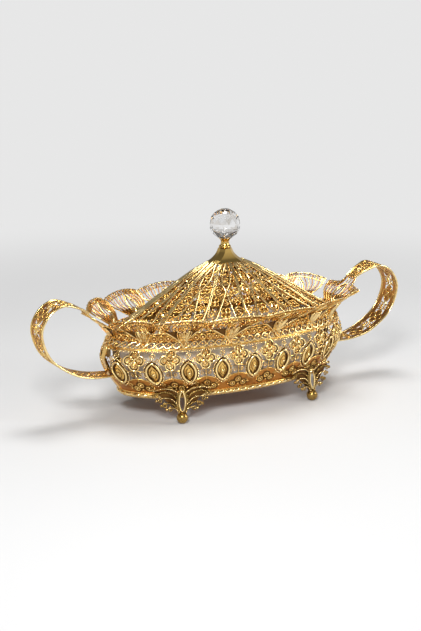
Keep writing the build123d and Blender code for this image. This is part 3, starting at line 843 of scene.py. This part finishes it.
def leaf_wires(piece, leaf, side):
    """The wires on one side of a leaf: a fan from its stem, its outline and two round its opening."""
    for wire in range(LEAF_WIRES):
        part = (wire + 0.5) / LEAF_WIRES
        z = np.linspace(79.0, leaf.top(side, part)[1], 15)
        gap = opening(z)
        aside = side * (gap + part * np.maximum(leaf.half_width(side, z) - gap, 0.5))
        piece.tube(leaf.at(aside, z, -0.3 * (wire % 2)), 0.52, COPPER if wire % 2 else GOLD)
    blade = np.linspace(82.0, leaf.top(side, 1.0)[1], 14)
    z = np.concatenate([np.linspace(STEM_BOTTOM, STEM_TOP, 4), blade])
    piece.tube(leaf.at(side * 0.985 * leaf.half_width(side, z), z, 0.2), 0.6, PALE)
    z = np.linspace(OPENING_FOOT + 0.1, OPENING_TOP - 0.1, 14)
    piece.tube(leaf.at(side * opening(z), z, 0.4), 0.8, PALE)
    z = np.linspace(OPENING_FOOT + 2.0, OPENING_TOP - 1.6, 9)
    piece.tube(leaf.at(side * 0.4 * opening(z), z, 0.2), 0.45, GOLD, sides=5)


def leaf_edge(piece, leaf):
    """The leaf's top edge: a rippled bright wire, a thin one below and a zigzag between them."""
    parts = np.linspace(-0.99, 0.99, 41)
    aside, z = np.transpose([leaf.top(1 if part >= 0 else -1, abs(part)) for part in parts])
    ripple = np.cos(30.0 * parts)
    piece.tube(leaf.at(aside, z - 0.6 + 0.25 * ripple, 0.2 * ripple - 0.25), 0.7, PALE)
    piece.tube(leaf.at(0.985 * aside, z - 4.0), 0.5, GOLD, sides=5)
    zigzag = 1.4 * (-1.0) ** np.arange(len(z))
    piece.tube(leaf.at(0.99 * aside, z - 2.4 + zigzag), 0.5, GOLD, sides=5)


def leaf_petal(piece, leaf, lean):
    """A domed petal that rises from the stem's foot and leans aside, with a wire round it."""
    turn = np.linspace(0, 2 * np.pi, 16, endpoint=False)
    rise = 0.5 - 0.5 * np.cos(turn)
    aside = lean * rise + PETAL_HALF * np.sin(turn) * (0.35 + rise)
    piece.tube(leaf.at(aside, PETAL_FOOT + PETAL_HEIGHT * rise, 1.5), 0.7, PALE, closed=True)
    rise = steps_down(0.06, 0.94, 8)
    column = steps_across(-1, 1, 5)
    aside = lean * rise + PETAL_HALF * column * np.sin(np.pi * rise) * (0.35 + rise)
    dome = 1.0 + 1.3 * (1 - np.abs(column))
    piece.sheet(leaf.at(aside, PETAL_FOOT + PETAL_HEIGHT * rise, dome), 0.4, PALE)


def leaf_hollow(piece, leaf, side):
    """The hollow beside the petals, filled with a dark sheet of painted shade, between them and two
    outline wires.
    """
    rise = steps_down(0, 1, 6)
    z = HOLLOW_FOOT + HOLLOW_HEIGHT * rise
    start = 1.8 + 4.4 * rise
    stop = np.maximum(0.86 * leaf.half_width(side, z), start + 0.8)
    aside = start + steps_across(0, 1, 5) * (stop - start)
    # Painted shade: a dark sheet where the hollow is only in shadow.
    piece.sheet(leaf.at(side * aside, z, 0.9), 0.4, SHADE_AND_PATINA)
    z = z[:, 0]
    piece.tube(leaf.at(side * stop[:, 0], z, 1.1), 0.65, PALE)
    piece.tube(leaf.at(side * 0.94 * leaf.half_width(side, z), z, 0.9), 0.6, GOLD)


def fan(number, first, last):
    """One leaf of the rim: wires round an open middle, over a stem with petals and hollows darkened with
    painted shade.
    """
    leaf = Leaf(first, last)
    piece = Piece()
    for side in (-1, 1):
        leaf_wires(piece, leaf, side)
    leaf_edge(piece, leaf)
    for lean in (-PETAL_LEAN, 0.0, PETAL_LEAN):
        leaf_petal(piece, leaf, lean)
    z = steps_down(STEM_BOTTOM, STEM_TOP, 5)
    piece.sheet(leaf.at(steps_across(-0.9, 0.9, 5) * leaf.half_width(1, z), z), 0.9, COPPER)
    for side in (-1, 1):
        leaf_hollow(piece, leaf, side)
    piece.make(f"rim_leaf_{number:02d}", "dish", f"rim_fan_{number:02d}")


# ------------------------------------------------------------------ lid
def boss(spot, radius, finish, x=0.0, y=0.0):
    """A plate sunk inside a bright ring."""
    spot.plate(disc(radius, x, y), 0.35, finish, -0.9)
    spot.ring(circle(radius, x, y), 0.3 + 0.38 * spot.size)


def motif(spot, kind):
    """One of the lid's three round figures, about as wide as a motif at full size."""
    size = spot.size
    if kind % 3 == 0:
        boss(spot, 4.8, PALE)
        spot.ring(circle(2.5), 0.3 + 0.3 * size, PALE, 0.1, sides=5)
        spot.beads(MIDDLE, 1.0 * size, GOLD, 0.2)
    elif kind % 3 == 1:
        for hand in (1, -1):
            curl = spiral(3.9, 1.5, -hand * math.pi / 2, hand, 18, hand * 3.4, 0.0)
            spot.wire(curl, 0.3 + 0.38 * size)
        spot.beads([(0.0, -4.6), (0.0, 4.6)], 1.1 * size, PALE, 0.2)
    else:
        for turn in DIAGONALS:
            boss(spot, 2.4, GOLD, 3.2 * math.cos(turn), 3.2 * math.sin(turn))
        spot.beads(MIDDLE, 1.4 * size, PALE, 0.7)


def lancet(piece, place):
    """The bold wires on a gore: a pointed arch low down, a pair that flows from the cap to its tip, and
    a pair that leaves the seams for the foot."""
    t = np.linspace(0, 1, 14)
    length = place.length
    for hand in (-1, 1):
        arch = 0.56 * length * (1 - t) + 0.8
        piece.tube(place.at(hand * 0.64 * t**0.85, arch, 1.1), 1.05, PALE)
        flow = length * (0.97 - 0.41 * t)
        piece.tube(place.at(hand * 0.42 * np.sin(np.pi * t), flow, 1.1), 0.95, PALE)
        foot = 0.42 * length * (1 - t) + 0.8
        piece.tube(place.at(hand * (0.97 - 0.26 * t**2.2), foot, 1.1), 0.95, PALE)


def gore(number, first, last):
    """One gore of the lid: rows of round figures and three coppery bands, under bold wires."""
    place = Gore(first, last)
    length = place.length
    piece = Piece()
    h = MOTIF_START
    row = 0
    while h < length - MOTIF_STOP:
        width = float(place.width(h))
        count = max(1, round(width / MOTIF))
        size = min(1.0, width / count / MOTIF)
        for step in range(count):
            aside = width * ((step + 0.5) / count - 0.5)
            motif(Spot(piece, place, aside, h, size), row + step)
        h += ROW_PITCH * max(size, LEAST_PITCH)
        row += 1
    for share, low, high, out in LID_BANDS:
        rise = steps_down(share * length + low, share * length + high, 4)
        piece.sheet(place.at(steps_across(-GORE_EDGE, GORE_EDGE, 9), rise, out), 0.6, COPPER)
    lancet(piece, place)
    hoop = np.linspace(-1, 1, 9)
    piece.tube(place.at(hoop, 0.9, 0.3), 0.8, PALE)
    piece.tube(place.at(hoop, length - 0.9, 0.2), 0.7, GOLD)
    piece.make(f"lid_gore_{number:02d}", "lid", f"lid_panel_{number:02d}")


def ribs(shares):
    """The raised wires over the seams, a close pair from the cap down and one on to the rim, and two
    rows of beads round the lid's ring."""
    piece = Piece()
    gores = [Gore(first, last) for first, last in zip(shares, shares[1:])]
    for number, after in enumerate(gores):
        for place, hand in ((after, -1), (gores[number - 1], 1)):
            down = np.linspace(place.length - 0.6, PAIR_END * place.length, 9)
            share = hand * (1 - 1.5 / place.width(down))
            piece.tube(place.at(share, down, 0.9), 0.85, PALE)
        down = np.linspace((PAIR_END + 0.02) * after.length, 0.6, 9)
        piece.tube(after.at(-1.0, down, 0.3), 0.6, GOLD)
    angles = evenly_round(LID_RING_BEADS)
    a = WAIST_A - LID_RING_INSET
    b = WAIST_B - LID_RING_INSET
    for z, radius, finish in ((82.0, 0.75, COPPER), (83.3, 0.85, GOLD)):
        centres = np.stack([a * np.cos(angles), b * np.sin(angles), np.full(len(angles), z)], -1)
        piece.beads(centres, radius, finish)
    piece.make("lid_rib_wires", "lid", "lid_ribs")


def cap():
    """The polished flare on top of the lid, with eight hollow-curved facets."""
    points = []
    for z, length, width in smooth_rows(CAP_LEVELS, 7):
        cut = CAP_CORNER * width
        half = [(length, cut - width), (length, width - cut), (length - cut, width), (cut - length, width)]
        points += [(x, y, z) for x, y in half]
        points += [(-x, -y, z) for x, y in half]
    piece = Piece()
    piece.add(np.array(points), ring_faces(len(points) // CAP_SIDES, CAP_SIDES), MIRROR)
    made = piece.make("polished_cap", "lid", "lid_cap")
    made.data.set_sharp_from_angle(angle=math.radians(FACET_ANGLE))


def neck():
    """The ringed neck between the cap and the ball."""
    heights, radii = smooth_rows(NECK_LEVELS, 5).T
    spine = np.array([(0.0, 0.0, z) for z in heights])
    piece = Piece()
    piece.tube((spine, np.broadcast_to([1.0, 0.0, 0.0], spine.shape)), radii, MIRROR, sides=28)
    piece.make("ringed_neck", "lid", "knob_neck")


# ------------------------------------------------------------------ handles
def four_rings(spot):
    """Four rings on coppery plates round a bead, with four small scrolls at the ribbon's sides."""
    for turn in QUARTER_TURNS:
        x = 4.0 * math.cos(turn)
        y = 3.7 * math.sin(turn)
        spot.plate(disc(3.0, x, y), 0.4, COPPER, -0.2)
        spot.ring(circle(3.2, x, y, 12), 0.8, GOLD, -0.1)
    spot.beads(MIDDLE, 1.1, PALE, -0.4)
    for hand in (1, -1):
        for up in (1, -1):
            curl = spiral(2.0, 1.2, 0.0, hand * up, 12, hand * 7.2, up * 3.2)
            spot.wire(curl, 0.65, GOLD, sides=5)


def scroll_pair(spot):
    """Two large scrolls on either side of a slim pointed loop and two beads."""
    for hand in (1, -1):
        curl = spiral(4.1, 1.45, hand * math.pi / 2, hand, 18, hand * 4.6, 0.0)
        spot.wire(curl, 0.8, GOLD, 0.1 * hand - 0.2)
    spot.beads([(0.0, 3.4), (0.0, -3.4)], 0.9, PALE, -0.2)
    spot.ring(lens(1.8, 5.4, 6), 0.65, PALE, sides=5)


def handle(name, node, side):
    """A wide ribbon of rings and scrolls in turn, between coppery strips and edge wires."""
    ribbon = Ribbon(side)
    piece = Piece()
    stop = ribbon.length - HANDLE_STOP
    marks = np.linspace(HANDLE_START, stop, 90)
    half = ribbon.half_width(marks)
    bead_marks = np.linspace(HANDLE_START, stop, 110)
    for edge in (-1, 1):
        reach = edge * (half - 0.8)
        piece.tube(ribbon.at(reach, marks, -0.25), 0.95, PALE)
        piece.tube(ribbon.at(reach - edge * 1.9, marks, -0.1), 0.65, GOLD, sides=5)
        strip = edge * steps_across(0.46, 0.95, 4) * half[:, None]
        piece.sheet(ribbon.at(strip, marks[:, None], -0.3), 0.5, COPPER)
        beads = ribbon.at(edge * (ribbon.half_width(bead_marks) - 2.4), bead_marks, 0.2)
        piece.beads(beads[0], 0.5, GOLD)
    s = HANDLE_START + 5.0
    figures = 0
    while s < stop - 7:
        size = (float(ribbon.half_width(s)) - 2.6) / FIGURE_HALF
        spot = Spot(piece, ribbon, 0.0, s, size)
        if figures % 2 == 0:
            four_rings(spot)
        else:
            scroll_pair(spot)
        s += FIGURE_PITCH * size
        figures += 1
    piece.make(name, "dish", node)


# ------------------------------------------------------------------ feet
def foot_wing(spot, hand):
    """The beaded wires on one side of a foot, with balls at their tips and scrolls, on a dark plate of
    painted shade and patina.
    """
    for number, wing in enumerate(WINGS):
        curve = smooth_rows([(hand * x, y) for x, y in wing], 6)
        spot.wire(curve, 0.85, BRASS, 0.4)
        spot.beads(evenly(curve, 1.7, False), 0.72, BRASS if number % 2 else PALE, 1.3)
        tip_x, tip_y = wing[-1]
        spot.beads([(hand * tip_x, tip_y)], 1.5, BRASS, 0.4)
        if number < len(WINGS) - 1:
            curl = spiral(2.5, 1.25, math.pi / 2, -hand, 14, hand * (tip_x - 3.6), tip_y + 0.2)
            spot.wire(curl, 0.6, BRASS, 0.7)
    rise = steps_down(0, 1, 5)
    reach = steps_across(0, 1, 7)
    x = hand * (4.2 + reach * (2.0 + 20.0 * rise))
    y = 5.0 + rise * 21.5 + reach * 4.0 * (1 - rise)
    # The dark plate behind the wires is painted shade and patina.
    spot.plate(np.stack([x, y], -1), 0.8, SHADE_AND_PATINA, -0.5, wrap=False)


def foot_ball(piece, bracket):
    """The waisted neck under the bracket, and the ball that the foot stands on."""
    spine = np.array([bracket.ball + bracket.up * step for step in (2.0, 4.0, 5.6)])
    piece.tube((spine, np.broadcast_to(bracket.facing, spine.shape)), [3.4, 2.3, 3.2], BRASS, sides=12)
    rows = np.linspace(-FOOT_BALL + 0.02, FOOT_BALL - 0.05, 15)
    spine = np.array([bracket.ball + [0, 0, row] for row in rows])
    radii = np.sqrt(np.maximum(FOOT_BALL**2 - rows**2, 0.05))
    piece.tube((spine, np.broadcast_to(bracket.aside, spine.shape)), radii, BRASS, sides=20)


def foot(name, node, x_side, y_side):
    """A winged bracket of beaded wires round a slotted loop, on a ball."""
    bracket = Bracket(x_side, y_side)
    piece = Piece()
    spot = Spot(piece, bracket, 0.0, 0.0)
    spot.ring(lens(4.3, 12.4, 12, SLOT_Z), 0.8, BRASS, 0.9)
    spot.ring(lens(3.0, 10.8, 12, SLOT_Z), 0.8, PALE, 1.5)
    spot.beads(evenly(lens(5.6, 13.8, 12, SLOT_Z), 1.7), 0.8, BRASS, 0.9)
    for hand in (1, -1):
        foot_wing(spot, hand)
    foot_ball(piece, bracket)
    piece.make(name, "dish", node)


# ------------------------------------------------------------------ materials
def new_material(name):
    material = bpy.data.materials.new(name)
    material.use_nodes = True
    nodes = material.node_tree.nodes
    return material, nodes, material.node_tree.links, nodes["Principled BSDF"]


def noise(nodes, links, scale, detail=2.0):
    """Soft noise over an object's own coordinates."""
    place = nodes.new("ShaderNodeTexCoord")
    made = nodes.new("ShaderNodeTexNoise")
    made.inputs["Scale"].default_value = scale
    made.inputs["Detail"].default_value = detail
    links.new(place.outputs["Object"], made.inputs["Vector"])
    return made.outputs["Fac"]


def ramp(nodes, links, share, target, low, high, start=0.0, stop=1.0):
    """A colour that goes from low to high while a share goes from start to stop."""
    made = nodes.new("ShaderNodeValToRGB")
    for element, position, colour in zip(made.color_ramp.elements, (start, stop), (low, high)):
        element.position = position
        element.color = (*colour, 1)
    links.new(share, made.inputs["Fac"])
    links.new(made.outputs["Color"], target)


def metal(name, light, shade_and_patch_colour, rough, patch=140.0, relief=0.35):
    """A cast, plated metal with an uneven polish, darker in drifting patches, with painted shade darkening
    its colour in its recesses.
    """
    material, nodes, links, shader = new_material(name)
    shader.inputs["Metallic"].default_value = 1.0
    # Painted shade: ambient occlusion darkens the base colour in recesses and between wires, where shade
    # falls, on top of the drifting darker patches.
    painted_recess_shade = nodes.new("ShaderNodeAmbientOcclusion")
    painted_recess_shade.samples = 6
    painted_recess_shade.only_local = True
    painted_recess_shade.inputs["Distance"].default_value = 0.004
    shade_and_patches = nodes.new("ShaderNodeMath")
    shade_and_patches.operation = "MULTIPLY"
    links.new(noise(nodes, links, patch), shade_and_patches.inputs[0])
    links.new(painted_recess_shade.outputs["AO"], shade_and_patches.inputs[1])
    ramp(nodes, links, shade_and_patches.outputs["Value"], shader.inputs["Base Color"], shade_and_patch_colour, light, 0.16, 0.44)
    grain = noise(nodes, links, 520.0, 3.0)
    spread = nodes.new("ShaderNodeMapRange")
    spread.inputs["To Min"].default_value = rough[0]
    spread.inputs["To Max"].default_value = rough[1]
    links.new(grain, spread.inputs["Value"])
    links.new(spread.outputs["Result"], shader.inputs["Roughness"])
    bump = nodes.new("ShaderNodeBump")
    bump.inputs["Strength"].default_value = relief
    bump.inputs["Distance"].default_value = 0.0003
    links.new(grain, bump.inputs["Height"])
    links.new(bump.outputs["Normal"], shader.inputs["Normal"])
    return material


# in the order of the finishes
METALS = [
    metal("bright_gilt", (0.84, 0.53, 0.15), (0.36, 0.15, 0.03), (0.2, 0.34), relief=0.12),
    metal("polished_wire", (0.97, 0.74, 0.34), (0.50, 0.26, 0.07), (0.12, 0.24), relief=0.06),
    metal("copper_gilt", (0.50, 0.205, 0.045), (0.15, 0.045, 0.01), (0.24, 0.4), patch=90.0, relief=0.3),
    # Painted shade and patina: a near-black brown for the grooves round loops and rims, and for dark
    # sheets put where there is only shade.
    metal("painted_shade_and_patina", (0.16, 0.075, 0.02), (0.05, 0.02, 0.006), (0.4, 0.6)),
    metal("antique_brass", (0.39, 0.245, 0.07), (0.09, 0.04, 0.01), (0.2, 0.36)),
    metal("mirror_gilt", (0.62, 0.41, 0.12), (0.36, 0.21, 0.05), (0.05, 0.1), patch=30.0, relief=0.03),
    metal("plain_steel", (0.56, 0.55, 0.53), (0.45, 0.44, 0.42), (0.3, 0.4)),
]


def cut_crystal():
    """Cut glass whose facets are each tinted a little differently at random, a painted reflection of the
    patches that cut facets pick up.
    """
    material, nodes, links, shader = new_material("cut_crystal")
    shader.inputs["Transmission Weight"].default_value = 1.0
    shader.inputs["IOR"].default_value = 1.5
    shader.inputs["Roughness"].default_value = 0.0
    surface = nodes.new("ShaderNodeNewGeometry")
    snap = nodes.new("ShaderNodeVectorMath")
    snap.operation = "SNAP"
    snap.inputs[1].default_value = (0.05, 0.05, 0.05)
    links.new(surface.outputs["True Normal"], snap.inputs[0])
    # Painted reflection: each facet gets its own tint, from brownish grey to white.
    facet_reflection_tint = nodes.new("ShaderNodeTexWhiteNoise")
    links.new(snap.outputs["Vector"], facet_reflection_tint.inputs["Vector"])
    colour = shader.inputs["Base Color"]
    ramp(nodes, links, facet_reflection_tint.outputs["Value"], colour, (0.60, 0.54, 0.46), (1, 1, 1), stop=0.55)
    return material


def frosted_liner():
    """Pale frosted glass that mostly scatters the light."""
    material, nodes, links, shader = new_material("frosted_liner")
    shader.inputs["Transmission Weight"].default_value = 0.08
    shader.inputs["Roughness"].default_value = 0.35
    cloud = noise(nodes, links, 40.0)
    ramp(nodes, links, cloud, shader.inputs["Base Color"], (0.90, 0.81, 0.68), (0.97, 0.90, 0.79))
    return material


def dress_cad():
    """Better materials for the solids whose shape is already right."""
    finishes = {
        "base_plate": METALS[COPPER],
        "waist_collar": METALS[COPPER],
        "glass_liner": frosted_liner(),
        "end_strap_left": METALS[GOLD],
        "end_strap_right": METALS[GOLD],
        "lid_base_ring": METALS[BRASS],
        "crystal_ball": cut_crystal(),
        "knob_stud": METALS[STEEL],
        "knob_nut": METALS[STEEL],
    }
    for node, material in finishes.items():
        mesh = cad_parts[node].data
        mesh.materials.clear()
        mesh.materials.append(material)


# ------------------------------------------------------------------ floor, light and camera
def grey(level):
    return level, level, level


def pale_floor():
    """A matte pale floor that fades, far off, into the plain pale background."""
    material, nodes, links, shader = new_material("pale_floor")
    shader.inputs["Roughness"].default_value = 0.8
    cloud = noise(nodes, links, 3.0)
    ramp(nodes, links, cloud, shader.inputs["Base Color"], grey(FLOOR), grey(FLOOR + FLOOR_DRIFT))
    place = nodes.new("ShaderNodeTexCoord")
    reach = nodes.new("ShaderNodeVectorMath")
    reach.operation = "LENGTH"
    links.new(place.outputs["Object"], reach.inputs[0])
    fade = nodes.new("ShaderNodeMapRange")
    fade.interpolation_type = "SMOOTHSTEP"
    fade.inputs["From Min"].default_value = FADE_NEAR
    fade.inputs["From Max"].default_value = FADE_FAR
    links.new(reach.outputs["Value"], fade.inputs["Value"])
    glow = nodes.new("ShaderNodeEmission")
    glow.inputs["Color"].default_value = (*grey(BACKDROP), 1)
    mix = nodes.new("ShaderNodeMixShader")
    links.new(fade.outputs["Result"], mix.inputs["Fac"])
    links.new(shader.outputs["BSDF"], mix.inputs[1])
    links.new(glow.outputs["Emission"], mix.inputs[2])
    links.new(mix.outputs["Shader"], nodes["Material Output"].inputs["Surface"])
    return material


def build_floor():
    mesh = bpy.data.meshes.new("floor")
    corners = [(-FLOOR_HALF, -FLOOR_HALF, 0), (FLOOR_HALF, -FLOOR_HALF, 0), (FLOOR_HALF, FLOOR_HALF, 0),
               (-FLOOR_HALF, FLOOR_HALF, 0)]
    mesh.from_pydata(corners, [], [(0, 1, 2, 3)])
    mesh.materials.append(pale_floor())
    floor = bpy.data.objects.new("floor", mesh)
    bpy.context.scene.collection.objects.link(floor)


def build_world():
    """A plain studio: pale at the horizon and darker overhead."""
    world = bpy.data.worlds.new("studio")
    bpy.context.scene.world = world
    world.use_nodes = True
    nodes, links = world.node_tree.nodes, world.node_tree.links
    place = nodes.new("ShaderNodeTexCoord")
    split = nodes.new("ShaderNodeSeparateXYZ")
    links.new(place.outputs["Generated"], split.inputs["Vector"])
    sky = nodes["Background"].inputs["Color"]
    ramp(nodes, links, split.outputs["Z"], sky, grey(BACKDROP), grey(OVERHEAD), 0.03, 0.5)


def area_light(name, place, size, watts):
    """A soft rectangular lamp that points at the dish."""
    data = bpy.data.lights.new(name, "AREA")
    data.shape = "RECTANGLE"
    data.size, data.size_y = size
    data.energy = watts
    lamp = bpy.data.objects.new(name, data)
    lamp.location = place
    lamp.rotation_euler = (Vector(LIGHT_TARGET) - Vector(place)).to_track_quat("-Z", "Y").to_euler()
    bpy.context.scene.collection.objects.link(lamp)


def build_camera():
    """A camera at the photograph's viewing angle."""
    azimuth = math.radians(CAMERA_AZIMUTH)
    elevation = math.radians(CAMERA_ELEVATION)
    back = Vector((math.sin(azimuth) * math.cos(elevation), -math.cos(azimuth) * math.cos(elevation),
                   math.sin(elevation)))
    data = bpy.data.cameras.new("camera")
    data.sensor_width = SENSOR
    data.lens = FOCAL_PIXELS * SENSOR / PHOTO_HEIGHT
    data.clip_start = 0.05
    camera = bpy.data.objects.new("camera", data)
    camera.location = CAMERA_TARGET + back * CAMERA_DISTANCE
    camera.rotation_euler = (-back).to_track_quat("-Z", "Y").to_euler()
    bpy.context.scene.collection.objects.link(camera)
    bpy.context.scene.camera = camera


# ------------------------------------------------------------------ the whole
def build_dish():
    wall("front_wall_filigree", "body_wall_front", -0.25)
    wall("back_wall_filigree", "body_wall_back", 0.25)
    shoulder()
    hem()
    fan_shares = round_shares(FAN_JOINTS, True)
    for number, (first, last) in enumerate(zip(fan_shares, fan_shares[1:]), 1):
        fan(number, first, last)
    lid_shares = round_shares(LID_JOINTS, False)
    for number, (first, last) in enumerate(zip(lid_shares, lid_shares[1:]), 1):
        gore(number, first, last)
    ribs(lid_shares)
    handle("handle_lace_right", "handle_right", 1)
    handle("handle_lace_left", "handle_left", -1)
    for y_name, y_side in (("front", -1), ("back", 1)):
        for x_name, x_side in (("left", -1), ("right", 1)):
            foot(f"winged_foot_{y_name}_{x_name}", f"foot_{y_name}_{x_name}", x_side, y_side)
    cap()
    neck()
    dress_cad()


build_dish()
build_floor()
build_world()
area_light("key", (-0.7, -1.0, 0.9), (0.32, 0.32), 17.0)
area_light("fill", (1.1, -0.8, 0.6), (0.3, 0.5), 7.0)
area_light("top", (0.1, 0.1, 1.3), (0.6, 0.4), 10.5)
build_camera()
bpy.context.scene.view_settings.view_transform = "Standard"
